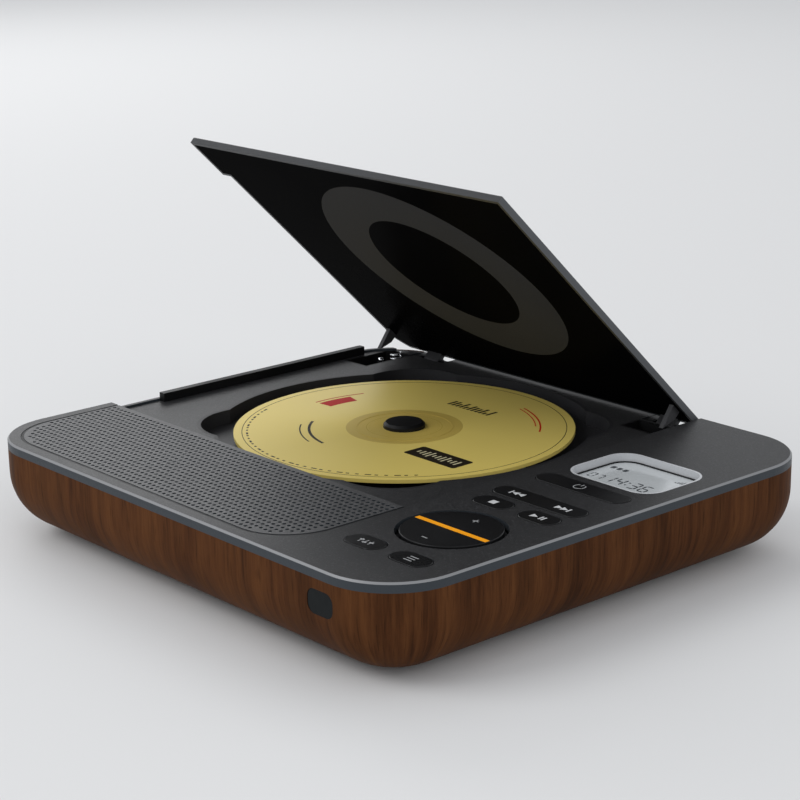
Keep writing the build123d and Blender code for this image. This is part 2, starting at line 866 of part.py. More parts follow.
def mechanism_chassis():
    chassis = block(disc_x + chassis_back, disc_x + chassis_front, disc_y - chassis_half_depth,
                    disc_y + chassis_half_depth, chassis_bottom, chassis_top)
    chassis -= block(disc_x + window_x0, disc_x + window_x1, disc_y - window_half, disc_y + window_half,
                     chassis_bottom, chassis_top)
    chassis -= post(disc_x, disc_y, chassis_bottom, chassis_top, shaft_radius + shaft_room)
    for x in (window_x0 - bracket_thickness, window_x1):
        chassis += block(disc_x + x, disc_x + x + bracket_thickness, disc_y - window_half,
                         disc_y + window_half, chassis_top, well_bottom - bracket_gap)
    start = disc_x + sled_motor_start
    screw_y = disc_y - rail_offset
    chassis += block(disc_x + chassis_front, start + sled_motor_plate, screw_y - sled_motor_radius,
                     screw_y + sled_motor_radius, chassis_bottom, chassis_top)
    chassis += block(start, start + sled_motor_plate, screw_y - sled_motor_radius,
                     screw_y + sled_motor_radius, rod_z - sled_motor_radius, rod_z + sled_motor_radius)
    reach = start + sled_motor_plate
    chassis -= bar_x(disc_x, reach, screw_y, rod_z, screw_rod_radius + rod_gap)
    chassis -= bar_x(disc_x, disc_x + window_x1 + bracket_thickness, disc_y + rail_offset, rod_z, rail_radius)
    return chassis


def mechanism_dampers():
    dampers = Part()
    for x, y in damper_places():
        dampers += post(x, y, chassis_top, well_bottom, damper_radius)
        dampers -= post(x, y, chassis_top, well_bottom, damper_bore)
    return dampers


def spindle_motor():
    motor = post(disc_x, disc_y, motor_bottom, chassis_bottom, motor_radius)
    bore = shaft_radius + motor_shaft_gap
    return motor - post(disc_x, disc_y, motor_bottom + shaft_seat, chassis_bottom, bore)


def spindle_shaft():
    return post(disc_x, disc_y, motor_bottom + shaft_seat + shaft_end_gap, hub_top - shaft_seat, shaft_radius)


def pawl_blocks():
    pawls = Part()
    low = disc_bottom + pawl_lift
    for step in range(pawl_count):
        pawl = block(hub_radius - pawl_depth, hub_radius + pawl_proud, -pawl_width / 2, pawl_width / 2,
                     low, low + pawl_height)
        pawls += Pos(disc_x, disc_y, 0) * Rot(0, 0, 360 / pawl_count * step) * pawl
    return pawls


def turntable_hub():
    hub = post(disc_x, disc_y, disc_bottom - hub_flange, disc_bottom, hub_flange_radius)
    spigot = post(disc_x, disc_y, disc_bottom, hub_top, hub_radius)
    hub += chamfer(spigot.edges().group_by(Axis.Z)[-1], hub_edge_chamfer)
    hub -= pawl_blocks()
    return hub - post(disc_x, disc_y, disc_bottom - hub_flange, hub_top - shaft_seat, shaft_radius)


def compact_disc():
    disc = post(disc_x, disc_y, disc_bottom, disc_top, disc_radius)
    return disc - post(disc_x, disc_y, disc_bottom, disc_top, disc_hole_radius)


def guide_rod():
    inner = disc_x + window_x0 - bracket_thickness
    return bar_x(inner, disc_x + window_x1 + bracket_thickness, disc_y + rail_offset, rod_z, rail_radius)


def lead_screw():
    inner = disc_x + window_x0 - bracket_thickness
    outer = disc_x + sled_motor_start + sled_motor_plate + screw_rod_end
    return bar_x(inner, outer, disc_y - rail_offset, rod_z, screw_rod_radius)


def sled_motor():
    start = disc_x + sled_motor_start + sled_motor_plate
    y = disc_y - rail_offset
    motor = bar_x(start, start + sled_motor_length, y, rod_z, sled_motor_radius)
    return motor - bar_x(start, start + screw_rod_end + screw_end_gap, y, rod_z, screw_rod_radius + rod_gap)


def pickup_sled():
    sled = block(sled_x - sled_half_length, sled_x + sled_half_length, disc_y - sled_half_width,
                 disc_y + sled_half_width, sled_bottom, sled_shoulder)
    sled += block(sled_x + sled_head_back, sled_x + sled_half_length, disc_y - sled_head_half,
                  disc_y + sled_head_half, sled_shoulder, sled_top)
    for y, radius in ((disc_y + rail_offset, rail_radius), (disc_y - rail_offset, screw_rod_radius)):
        sled -= bar_x(sled_x - beyond, sled_x + beyond, y, rod_z, radius + rod_gap)
    return sled


def objective_lens():
    lens = post(sled_x + lens_offset, disc_y, sled_top, sled_top + lens_height, lens_radius)
    return fillet(lens.edges().group_by(Axis.Z)[-1], lens_edge_round)


# Rail, hinges and the bays beside them
def lid_side_rail():
    return block(rail_left, rail_left + rail_width, rail_front, rail_back, recess_z, deck_z)


def hinge_cover():
    return block(cover_left, cover_right, back_inside, half_depth, deck_z - hinge_cover_drop,
                 deck_z - hinge_cover_top_drop)


def hinge_blocks():
    blocks = Part()
    for x in (hinge_left_x, hinge_right_x):
        body = knuckle_zone(x) & prism(body_outline(0), hinge_floor, hinge_top)
        body -= block(x - knuckle_width / 2 - knuckle_gap, x + torsion_room, hinge_block_front - beyond,
                      half_depth + beyond, hinge_z - knuckle_radius - knuckle_gap, deck_z)
        blocks += body - hinge_pin(x)
    return blocks


def hinge_pin(x):
    half = hinge_block_width / 2
    return bar_x(x - half + pin_end_wall, x + half, hinge_y, hinge_z, hinge_pin_radius)


def hinge_pins():
    return Part() + hinge_pin(hinge_left_x) + hinge_pin(hinge_right_x)


def lid_torsion_springs():
    springs = Part()
    turn = 2 * math.pi * torsion_radius
    arcs = helix_arcs(torsion_radius, torsion_pitch, torsion_turns)
    coil = wound_tube(arcs, torsion_wire, turn, "torsion spring")
    for x in (hinge_left_x, hinge_right_x):
        springs += Pos(x + torsion_start, hinge_y, hinge_z) * Rot(0, 90, 0) * coil
    return springs


def hinge_bay_liners():
    liners = Part()
    for bay, inner in zip(hinge_bays(0), hinge_bays(bay_wall)):
        liners += (bay - inner) & block(-half_width, half_width, -half_depth, half_depth, 0, recess_z)
    seat_top = deck_z - push_spring_top_drop - push_spring_turns * push_spring_pitch
    seat_top -= push_spring_wire / 2 + spring_seat_gap
    bay_floor = deck_z - bay_depth + bay_wall
    return liners + post(push_spring_x, push_spring_y, bay_floor, seat_top, spring_seat_radius)


def lid_push_spring():
    bottom = deck_z - push_spring_top_drop - push_spring_turns * push_spring_pitch
    arcs = helix_arcs(push_spring_radius, push_spring_pitch, push_spring_turns,
                      push_spring_x, push_spring_y, bottom, push_spring_leg)
    return wound_tube(arcs, push_spring_wire, 2 * math.pi * push_spring_radius, "push spring")


def guide_post():
    bay_floor = deck_z - bay_depth + bay_wall
    pin = post(guide_post_x, guide_post_y, bay_floor, deck_z - guide_post_drop, guide_post_radius)
    return fillet(pin.edges().group_by(Axis.Z)[-1], guide_post_round)


# Lid, drawn closed and then swung open about its hinge
def lid_outline(shrink):
    sheet = Pos((lid_left + lid_right) / 2, (lid_front + lid_back) / 2) * Rectangle(
        lid_right - lid_left - 2 * shrink, lid_back - lid_front - 2 * shrink)
    sheet &= body_outline(seat_gap / 2 + shrink)
    notch_front = lid_front + lid_tab_length - shrink
    notch_right = lid_notch_left + shrink
    return sheet - Pos(notch_right - beyond, notch_front + body_depth / 2) * Rectangle(2 * beyond, body_depth)


def lid_panel():
    panel = prism(lid_outline(0), lid_under_z, lid_under_z + lid_thickness)
    panel = chamfer(panel.edges().group_by(Axis.Z)[-1], lid_edge_chamfer)
    panel -= prism(lid_outline(liner_border), lid_under_z, lid_under_z + liner_thickness)
    return swing_open(panel)


def lid_ring_closed():
    ring = post(ring_x, ring_y, lid_under_z, lid_under_z + ring_thickness, ring_outer_radius)
    return ring - post(ring_x, ring_y, lid_under_z, lid_under_z + ring_thickness, ring_inner_radius)


def lid_ring():
    return swing_open(lid_ring_closed())


def lid_liner():
    liner = prism(lid_outline(liner_border), lid_under_z, lid_under_z + liner_thickness)
    return swing_open(liner - lid_ring_closed())


def lid_hinge_arms():
    arms = Part()
    for x in (hinge_left_x, hinge_right_x):
        x0 = x - knuckle_width / 2
        x1 = x + knuckle_width / 2
        arm = bar_x(x0, x1, hinge_y, hinge_z, knuckle_radius)
        arm += block(x0, x1, hinge_y - knuckle_radius, lid_back, hinge_z, lid_under_z)
        arms += arm - bar_x(x0, x1, hinge_y, hinge_z, hinge_pin_radius + hinge_running_gap)
    return swing_open(arms)


def lid_stop_hooks():
    hooks = Part()
    outline = [(hook_front, lid_under_z), (hook_tip_y, lid_under_z - hook_length),
               (hook_waist_y, lid_under_z - hook_waist), (hook_back, lid_under_z)]
    near = bay_wall + hook_side_gap
    for x in (bay_left_x0 + near, bay_right_x1 - near - hook_width):
        face = make_face(Plane.YZ * Polyline(*outline, close=True))
        hooks += Pos(x, 0, 0) * extrude(face, hook_width, dir=(1, 0, 0))
    return swing_open(hooks)


# Electronics
chip_height = 1.2
chip_places = ((-44.0, 8.0, 12.0), (-20.0, 20.0, 9.0), (2.0, -8.0, 7.0))
capacitor_radius = 3.2
capacitor_height = 4.0
capacitor_places = ((-50.0, -12.0), (-40.0, -12.0))
battery_x = half_width - 36.5
battery_y = 79.5 - half_depth
battery_width = 30.0
battery_length = 80.0
battery_height = 11.0
battery_corner = 2.0


def main_board():
    return block(main_board_x0, main_board_x1, main_board_y0, main_board_y1,
                 main_board_bottom, main_board_top)


def main_board_chips():
    chips = Part()
    for x, y, width in chip_places:
        chips += block(x - width / 2, x + width / 2, y - width / 2, y + width / 2,
                       main_board_top, main_board_top + chip_height)
    return chips


def main_board_capacitors():
    capacitors = Part()
    for x, y in capacitor_places:
        capacitors += post(x, y, main_board_top, main_board_top + capacitor_height, capacitor_radius)
    return capacitors


def battery_pack():
    return rounded_block(battery_x, battery_y, battery_width, battery_length, battery_corner,
                         floor_z, floor_z + battery_height)


def jack_nose():
    return bar_y(port_x + jack_offset, port_back, port_face, port_z, jack_width / 2)


def usb_space():
    return upright(port_x + usb_offset, usb_width, usb_height, usb_height / 2 - usb_flat, port_z,
                   port_face - usb_length, port_face)


def rear_port_panel():
    panel = upright(port_x, port_width - 2 * seat_gap, port_height - 2 * seat_gap, port_corner - seat_gap,
                    port_z, port_back, port_face)
    return panel - jack_nose() - usb_space()


def headphone_jack():
    x = port_x + jack_offset
    half = jack_width / 2
    inner = port_face - jack_length - jack_end_wall
    jack = block(x - half, x + half, inner, port_back, port_board_top, port_z + half)
    jack += jack_nose()
    return jack - bar_y(x, port_face - jack_length, port_face, port_z, jack_radius)


def usb_c_socket():
    x = port_x + usb_offset
    socket = usb_space()
    socket -= upright(x, usb_width - 2 * usb_wall, usb_height - 2 * usb_wall,
                      usb_height / 2 - usb_wall - usb_flat, port_z, port_face - usb_length + usb_wall, port_face)
    socket += block(x - usb_tongue_half, x + usb_tongue_half, port_face - usb_length + usb_wall,
                    port_face - usb_tongue_inset,
                    port_z - usb_tongue / 2, port_z + usb_tongue / 2)
    return socket + block(x - usb_foot_half, x + usb_foot_half, port_face - usb_length,
                          port_back, port_board_top, port_z - usb_height / 2)


def port_board():
    half = port_width / 2 - port_board_side
    back = back_inside - port_board_gap
    return block(port_x - half, port_x + half, back - port_board_depth, back,
                 port_board_bottom, port_board_top)


pieces = {
    "wood_shell": wood_shell, "bottom_cover": bottom_cover, "rubber_feet": rubber_feet,
    "cover_screws": cover_screws, "deck_screws": deck_screws, "top_deck": top_deck,
    "infrared_window": infrared_window, "disc_well": disc_well, "speaker_grille": speaker_grille,
    "grille_cloth": grille_cloth, "speaker_frames": speaker_frames, "speaker_surrounds": speaker_surrounds,
    "speaker_cones": speaker_cones, "speaker_magnets": speaker_magnets,
    "skip_rocker": skip_rocker, "volume_rocker": volume_rocker, "light_bar": light_bar,
    "button_board": button_board, "tact_switches": tact_switches,
    "lcd_bezel": lcd_bezel, "lcd_panel": lcd_panel,
    "mechanism_chassis": mechanism_chassis, "mechanism_dampers": mechanism_dampers,
    "spindle_motor": spindle_motor, "spindle_shaft": spindle_shaft, "turntable_hub": turntable_hub,
    "hub_pawls": pawl_blocks, "compact_disc": compact_disc, "guide_rod": guide_rod,
    "lead_screw": lead_screw, "sled_motor": sled_motor, "pickup_sled": pickup_sled,
    "objective_lens": objective_lens, "lid_side_rail": lid_side_rail, "hinge_cover": hinge_cover,
    "hinge_blocks": hinge_blocks, "hinge_pins": hinge_pins, "lid_torsion_springs": lid_torsion_springs,
    "hinge_bay_liners": hinge_bay_liners, "lid_push_spring": lid_push_spring, "guide_post": guide_post,
    "lid_panel": lid_panel, "lid_liner": lid_liner, "lid_ring": lid_ring,
    "lid_hinge_arms": lid_hinge_arms, "lid_stop_hooks": lid_stop_hooks,
    "main_board": main_board, "main_board_chips": main_board_chips,
    "main_board_capacitors": main_board_capacitors, "battery_pack": battery_pack,
    "rear_port_panel": rear_port_panel, "headphone_jack": headphone_jack,
    "usb_c_socket": usb_c_socket, "port_board": port_board,
}

os.makedirs("parts", exist_ok=True)
for name, make in pieces.items():
    export_step(make(), "parts/" + name + ".step")
for name, (x, y) in button_rows.items():
    export_step(push_button(x, y, pill_length), "parts/" + name + ".step")
export_step(push_button(middle_column, power_row, long_pill_length), "parts/power_button.step")
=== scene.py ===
import math

import bmesh
import bpy
from mathutils import Matrix, Vector


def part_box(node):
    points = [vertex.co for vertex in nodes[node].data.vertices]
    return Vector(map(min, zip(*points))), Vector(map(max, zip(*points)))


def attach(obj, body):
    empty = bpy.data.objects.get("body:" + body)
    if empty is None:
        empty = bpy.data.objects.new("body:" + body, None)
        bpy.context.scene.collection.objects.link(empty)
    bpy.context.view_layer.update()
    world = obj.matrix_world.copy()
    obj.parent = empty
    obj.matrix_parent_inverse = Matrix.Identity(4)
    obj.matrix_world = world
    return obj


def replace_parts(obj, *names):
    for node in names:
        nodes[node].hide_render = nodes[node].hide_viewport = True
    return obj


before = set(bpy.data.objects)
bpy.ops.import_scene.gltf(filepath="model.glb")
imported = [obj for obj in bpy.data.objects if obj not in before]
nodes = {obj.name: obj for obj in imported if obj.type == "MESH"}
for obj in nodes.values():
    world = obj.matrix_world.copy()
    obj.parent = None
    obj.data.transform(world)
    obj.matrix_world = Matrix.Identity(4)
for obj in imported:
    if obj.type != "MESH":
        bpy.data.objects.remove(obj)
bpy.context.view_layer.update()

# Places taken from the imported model, in metres
MM = 0.001
deck_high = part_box("top_deck")[1]
HALF_WIDTH = deck_high.x
HALF_DEPTH = deck_high.y
BODY_CORNER = 24.4 * MM
grille_low, grille_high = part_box("speaker_grille")
disc_low, disc_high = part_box("compact_disc")
DISC_X = (disc_low.x + disc_high.x) / 2
DISC_Y = (disc_low.y + disc_high.y) / 2


def middle(node):
    low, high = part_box(node)
    return (low + high) / 2


# Colours are written as they look on a screen, from 0 to 255
def tone(red, green, blue):
    def channel(value):
        share = value / 255
        return share / 12.92 if share <= 0.04045 else ((share + 0.055) / 1.055) ** 2.4

    return channel(red), channel(green), channel(blue), 1.0


# The same colour, lighter or darker
def shade(colour, factor):
    return tuple(min(1.0, part * factor) for part in colour[:3]) + (1.0,)


# The mix node has a set of sockets for each kind of data: these are the ones for colours
COLOUR_A, COLOUR_B, COLOUR_RESULT = 6, 7, 2


# A small kit for node materials
class Surface:
    def __init__(self, name):
        self.material = bpy.data.materials.new(name)
        self.material.use_nodes = True
        self.tree = self.material.node_tree
        self.shader = self.tree.nodes["Principled BSDF"]
        self.place = self.add("ShaderNodeTexCoord").outputs["Object"]

    def add(self, kind, inputs=None, **settings):
        made = self.tree.nodes.new(kind)
        for key, value in settings.items():
            setattr(made, key, value)
        for key, value in (inputs or {}).items():
            self.put(made.inputs[key], value)
        return made

    def put(self, socket, value):
        if isinstance(value, bpy.types.NodeSocket):
            self.tree.links.new(value, socket)
        else:
            socket.default_value = value

    def set(self, **values):
        for key, value in values.items():
            self.put(self.shader.inputs[key.replace("_", " ")], value)
        return self

    def math(self, operation, first, second=0.0):
        made = self.add("ShaderNodeMath", {0: first, 1: second}, operation=operation)
        return made.outputs[0]

    def vector(self, operation, first, second=(0.0, 0.0, 0.0)):
        made = self.add("ShaderNodeVectorMath", {0: first, 1: second}, operation=operation)
        return made.outputs[0]

    def noise(self, scale, detail=2.0, roughness=0.5, place=None):
        inputs = {"Vector": place or self.place, "Scale": scale, "Detail": detail, "Roughness": roughness}
        return self.add("ShaderNodeTexNoise", inputs).outputs["Fac"]

    def cells(self, scale):
        made = self.add("ShaderNodeTexVoronoi", {"Vector": self.place, "Scale": scale})
        return made.outputs["Color"]

    def ramp(self, factor, *stops):
        made = self.add("ShaderNodeValToRGB", {"Fac": factor})
        elements = made.color_ramp.elements
        while len(elements) < len(stops):
            elements.new(0.5)
        for element, (position, colour) in zip(elements, stops):
            element.position = position
            element.color = colour
        return made.outputs["Color"]

    def span(self, factor, low, high, from_low=0.0, from_high=1.0):
        inputs = {"Value": factor, "From Min": from_low, "From Max": from_high, "To Min": low, "To Max": high}
        return self.add("ShaderNodeMapRange", inputs).outputs["Result"]

    def mix(self, factor, first, second, blend="MIX"):
        made = self.add("ShaderNodeMix", data_type="RGBA", blend_type=blend)
        self.put(made.inputs["Factor"], factor)
        self.put(made.inputs[COLOUR_A], first)
        self.put(made.inputs[COLOUR_B], second)
        return made.outputs[COLOUR_RESULT]

    def bump(self, height, distance, strength=1.0, before=None):
        made = self.add("ShaderNodeBump", {"Height": height, "Distance": distance, "Strength": strength})
        if before is not None:
            self.put(made.inputs["Normal"], before)
        return made.outputs["Normal"]


# A grained finish: soft colour drift, fine grain in colour and height, and uneven gloss
def grained(name, colour, metallic=0.0, roughness=0.5, grain=2500.0, depth=0.02 * MM, drift=0.12,
            speckle=0.10, gloss_drift=0.08, coat=0.0, specular=0.4):
    surface = Surface(name)
    broad = surface.noise(35.0, 3.0)
    fine = surface.noise(grain, 2.0)
    base = surface.ramp(broad, (0.3, shade(colour, 1 - drift)), (0.7, shade(colour, 1 + drift)))
    flecks = surface.span(fine, 1 - speckle, 1 + speckle, 0.3, 0.7)
    flecks = surface.add("ShaderNodeCombineXYZ", {0: flecks, 1: flecks, 2: flecks}).outputs[0]
    base = surface.mix(1.0, base, flecks, "MULTIPLY")
    surface.set(Base_Color=base, Metallic=metallic, Specular_IOR_Level=specular)
    surface.set(Roughness=surface.span(broad, roughness - gloss_drift, roughness + gloss_drift, 0.3, 0.7))
    surface.set(Normal=surface.bump(fine, depth))
    if coat > 0:
        surface.set(Coat_Weight=coat)
        surface.shader.inputs["Coat Roughness"].default_value = 0.12
    return surface.material


# Charcoal paint with fine sand in it, as on the deck, the grille and the lid. Cut edges get a painted
# highlight, and upright sides a tone of their own that paints the light falling on them: facing is 0 on an upright side
# and 1 on a level one
PAINT_ROUGHNESS = 0.42
PAINT_METALLIC = 0.25
WHITE = (1.0, 1.0, 1.0, 1.0)
BLACK = (0.0, 0.0, 0.0, 1.0)


# edge is the chamfers' painted highlight tone, side the upright sides' tone of painted light
def sanded_paint(name, colour, edge, side):
    surface = Surface(name)
    sand = surface.noise(1900.0, 3.0, 0.62)
    sparkle = surface.cells(2300.0)
    broad = surface.noise(14.0, 2.0)
    base = surface.ramp(broad, (0.35, shade(colour, 0.92)), (0.65, shade(colour, 1.08)))
    base = surface.mix(0.45, base, surface.ramp(sand, (0.34, shade(colour, 0.35)), (0.70, shade(colour, 2.2))))
    glint = surface.add("ShaderNodeSeparateColor", {"Color": sparkle}).outputs["Red"]
    base = surface.mix(surface.span(glint, 0.0, 0.30, 0.84, 1.0), base, shade(colour, 4.0))
    normal = surface.add("ShaderNodeNewGeometry").outputs["Normal"]
    facing = surface.math("ABSOLUTE", surface.add("ShaderNodeSeparateXYZ", {0: normal}).outputs["Z"])
    # The upright sides take the side tone: painted light
    upright = surface.ramp(facing, (0.30, WHITE), (0.50, BLACK))
    base = surface.mix(upright, base, side)
    # The slanted chamfer faces take the edge tone: a painted highlight
    chamfer_highlight = surface.ramp(facing, (0.40, BLACK), (0.50, WHITE), (0.90, WHITE), (0.97, BLACK))
    base = surface.mix(chamfer_highlight, base, edge)
    surface.set(Base_Color=base, Metallic=PAINT_METALLIC, Specular_IOR_Level=0.22)
    surface.set(Roughness=surface.span(sand, PAINT_ROUGHNESS - 0.07, PAINT_ROUGHNESS + 0.09, 0.3, 0.7))
    surface.set(Normal=surface.bump(sand, 0.05 * MM, 0.8))
    return surface.material


# Walnut veneer that runs upright round the body: the grain is read from the nearest
# point of the body's outline, so that it follows the curve under the body
GRAIN_LEAN = 0.07
GRAIN_SWAY = 3.5 * MM


def walnut(name):
    surface = Surface(name)
    inner = (HALF_WIDTH - BODY_CORNER, HALF_DEPTH - BODY_CORNER, 0.0)
    flat = surface.vector("MULTIPLY", surface.place, (1.0, 1.0, 0.0))
    held = surface.vector("MINIMUM", flat, inner)
    held = surface.vector("MAXIMUM", held, tuple(-value for value in inner))
    outward = surface.vector("NORMALIZE", surface.vector("SUBTRACT", flat, held))
    reach = surface.add("ShaderNodeVectorMath", {0: outward, "Scale": BODY_CORNER}, operation="SCALE").outputs[0]
    outline = surface.vector("ADD", held, reach)
    height = surface.add("ShaderNodeSeparateXYZ", {0: surface.place}).outputs["Z"]
    lean = surface.math("MULTIPLY", height, GRAIN_LEAN)
    upright = surface.add("ShaderNodeCombineXYZ", {2: lean}).outputs[0]
    place = surface.vector("ADD", outline, upright)
    wander = surface.noise(26.0, 2.0, 0.5, place)
    sway = surface.math("MULTIPLY", wander, GRAIN_SWAY)
    place = surface.vector("ADD", place, surface.add("ShaderNodeCombineXYZ", {0: sway, 1: sway}).outputs[0])
    bands = surface.noise(70.0, 4.0, 0.62, place)
    streaks = surface.noise(330.0, 5.0, 0.66, place)
    pores = surface.noise(1500.0, 2.0, 0.5, place)
    tones = surface.ramp(bands, (0.30, tone(52, 31, 18)), (0.46, tone(78, 47, 27)), (0.56, tone(92, 57, 32)),
                         (0.70, tone(64, 39, 23)))
    veins = surface.ramp(streaks, (0.34, tone(42, 26, 16)), (0.47, tone(74, 45, 26)), (0.60, tone(94, 60, 35)),
                         (0.72, tone(58, 36, 22)))
    base = surface.mix(0.45, tones, veins)
    base = surface.mix(surface.span(pores, 0.0, 0.40, 0.56, 0.72), base, tone(30, 18, 12))
    surface.set(Base_Color=base, Specular_IOR_Level=0.02)
    surface.set(Roughness=surface.span(streaks, 0.42, 0.54, 0.3, 0.7))
    surface.set(Normal=surface.bump(pores, 0.03 * MM, 0.5, surface.bump(streaks, 0.04 * MM, 0.6)))
    return surface.material


# Brushed or turned metal: fine lines stretched along one axis
def brushed(name, colour, roughness=0.32, along=(1.0, 30.0, 30.0)):
    surface = Surface(name)
    place = surface.vector("MULTIPLY", surface.place, along)
    lines = surface.noise(180.0, 4.0, 0.6, place)
    base = surface.ramp(lines, (0.3, shade(colour, 0.82)), (0.7, shade(colour, 1.12)))
    surface.set(Base_Color=base, Metallic=1.0)
    surface.set(Roughness=surface.span(lines, roughness - 0.08, roughness + 0.10, 0.3, 0.7))
    surface.set(Normal=surface.bump(lines, 0.01 * MM))
    return surface.material


# Printed gold lacquer on the disc, with faint turning marks round its centre. Its tone
# changes twice on the way round: a painted sheen, as a disc's reflection does under a window
SWEEP_START = 0.65
SWEEPS = 2.0


def gold_label(name, colour, roughness, marks):
    surface = Surface(name)
    centred = surface.vector("SUBTRACT", surface.place, (DISC_X, DISC_Y, 0.0))
    parts = surface.add("ShaderNodeSeparateXYZ", {0: centred}).outputs
    level = surface.vector("MULTIPLY", centred, (1.0, 1.0, 0.0))
    distance = surface.add("ShaderNodeVectorMath", {0: level}, operation="LENGTH").outputs["Value"]
    ring_place = surface.add("ShaderNodeCombineXYZ", {0: distance}).outputs[0]
    rings = surface.noise(2200.0, 3.0, 0.6, ring_place)
    # A painted sheen: the tone goes lighter and darker twice on the way round the centre
    angle = surface.math("ARCTAN2", parts["Y"], parts["X"])
    turned = surface.math("ADD", angle, SWEEP_START)
    sweep = surface.math("SINE", surface.math("MULTIPLY", turned, SWEEPS))
    sweep_sheen = surface.ramp(surface.span(sweep, 0.0, 1.0, -1.0, 1.0), (0.1, shade(colour, 0.93)),
                        (0.9, shade(colour, 1.10)))
    base = surface.mix(marks, sweep_sheen, surface.ramp(rings, (0.3, shade(colour, 0.8)), (0.7, shade(colour, 1.2))))
    surface.set(Base_Color=base, Metallic=0.06, Specular_IOR_Level=0.18)
    surface.set(Roughness=surface.span(rings, roughness - 0.05, roughness + 0.06, 0.3, 0.7))
    surface.shader.inputs["Anisotropic"].default_value = 0.6
    surface.set(Tangent=surface.add("ShaderNodeTangent", direction_type="RADIAL", axis="Z").outputs[0])
    surface.set(Normal=surface.bump(rings, 0.004 * MM, 0.5))
    return surface.material


# Woven cloth behind the grille
def woven(name, colour):
    surface = Surface(name)
    across, along = (surface.add("ShaderNodeTexWave", {"Vector": surface.place, "Scale": 620.0},
                                 bands_direction=direction).outputs["Fac"] for direction in "XY")
    weave = surface.math("MULTIPLY", across, along)
    surface.set(Base_Color=surface.ramp(weave, (0.1, shade(colour, 0.5)), (0.8, shade(colour, 1.8))))
    surface.set(Roughness=0.9, Normal=surface.bump(weave, 0.08 * MM))
    return surface.material


# Circuit board lacquer with its traces
def board(name, colour):
    surface = Surface(name)
    grid = surface.add("ShaderNodeTexBrick", {"Vector": surface.place, "Scale": 160.0, "Mortar Size": 0.012})
    base = surface.mix(grid.outputs["Fac"], colour, shade(colour, 1.9))
    drift = surface.noise(60.0, 3.0)
    base = surface.mix(surface.span(drift, 0.0, 0.3), base, shade(colour, 0.6))
    surface.set(Base_Color=base, Roughness=surface.span(drift, 0.28, 0.42, 0.3, 0.7))
    surface.set(Normal=surface.bump(grid.outputs["Fac"], 0.02 * MM))
    return surface.material


# Coated glass with a little haze
def glass(name, colour):
    surface = Surface(name)
    haze = surface.noise(300.0, 2.0)
    surface.set(Base_Color=surface.ramp(haze, (0.3, shade(colour, 0.9)), (0.7, colour)))
    surface.set(Roughness=surface.span(haze, 0.05, 0.10), Transmission_Weight=0.4)
    return surface.material


# In each paint below, the second colour is the chamfers' painted highlight and the third the upright sides' tone of
# painted light
CHARCOAL = tone(48, 48, 49)
DECK_SIDE_PAINTED_LIGHT = tone(57, 62, 67)
paint = sanded_paint("deck_paint", CHARCOAL, tone(138, 139, 141), DECK_SIDE_PAINTED_LIGHT)
grille_paint = sanded_paint("grille_paint", tone(70, 70, 71), tone(96, 97, 99), DECK_SIDE_PAINTED_LIGHT)
lid_paint = sanded_paint("lid_paint", CHARCOAL, tone(60, 61, 63), tone(88, 90, 93))
hook_paint = sanded_paint("hook_paint", tone(56, 56, 57), tone(60, 60, 62), tone(72, 72, 74))
wood = walnut("walnut_veneer")
gloss_black = grained("lid_gloss_black", tone(9, 9, 10), 0.0, 0.22, 900.0, 0.001 * MM, gloss_drift=0.04,
                      specular=0.0006)
ring_grey = grained("ring_grey", tone(62, 62, 63), 0.0, 0.45, 2400.0, 0.008 * MM, 0.05, 0.06, specular=0.0015)
plastic = grained("black_plastic", tone(19, 19, 20), 0.0, 0.45, 2300.0, 0.02 * MM, specular=0.15)
well_plastic = grained("well_plastic", tone(44, 44, 46), 0.10, 0.45, 2300.0, 0.02 * MM, specular=0.2)
rubber = grained("foot_rubber", tone(30, 30, 31), 0.0, 0.78, 1800.0, 0.05 * MM)
steel = brushed("brushed_steel", tone(190, 192, 196))
spring_steel = brushed("spring_steel", tone(225, 227, 230), 0.16, (1.0, 1.0, 40.0))
hinge_steel = brushed("blackened_steel", tone(66, 66, 68), 0.42, (30.0, 1.0, 1.0))
gold = gold_label("disc_gold", tone(218, 196, 106), 0.36, 0.08)
inner_gold = gold_label("disc_inner_gold", tone(190, 166, 84), 0.30, 0.03)
orange = grained("light_orange", tone(255, 166, 28), 0.0, 0.35, 900.0, 0.004 * MM, 0.03, 0.03)
lcd_grey = grained("lcd_frame_grey", tone(192, 194, 197), 0.0, 0.40, 1800.0, 0.01 * MM, 0.03, 0.03)
lcd_glass = grained("lcd_glass", tone(198, 202, 204), 0.0, 0.16, 700.0, 0.001 * MM, 0.03, 0.02, coat=0.5)
lcd_ink = grained("lcd_ink", tone(62, 66, 70), 0.0, 0.35, 1500.0, 0.003 * MM)
button_black = grained("button_black", tone(24, 24, 25), 0.0, 0.35, 2400.0, 0.012 * MM, specular=0.2)
symbol_white = grained("symbol_white", tone(206, 207, 208), 0.0, 0.45, 2000.0, 0.004 * MM, 0.04, 0.04)
symbol_dim = grained("symbol_dim", tone(158, 159, 160), 0.0, 0.45, 2000.0, 0.004 * MM, 0.04, 0.04)
print_dark = grained("print_dark", tone(38, 33, 26), 0.0, 0.42, 1800.0, 0.003 * MM, specular=0.05)
print_red = grained("print_red", tone(186, 22, 16), 0.0, 0.42, 1800.0, 0.003 * MM, 0.06, 0.05, specular=0.05)
print_pale = grained("print_pale", tone(206, 198, 160), 0.0, 0.42, 1800.0, 0.003 * MM, 0.05, 0.05)
board_green = board("board_green", tone(24, 92, 52))
chip_black = grained("chip_black", tone(28, 28, 30), 0.0, 0.6, 2600.0, 0.02 * MM)
sleeve = brushed("capacitor_sleeve", tone(176, 178, 182), 0.35, (30.0, 30.0, 1.0))
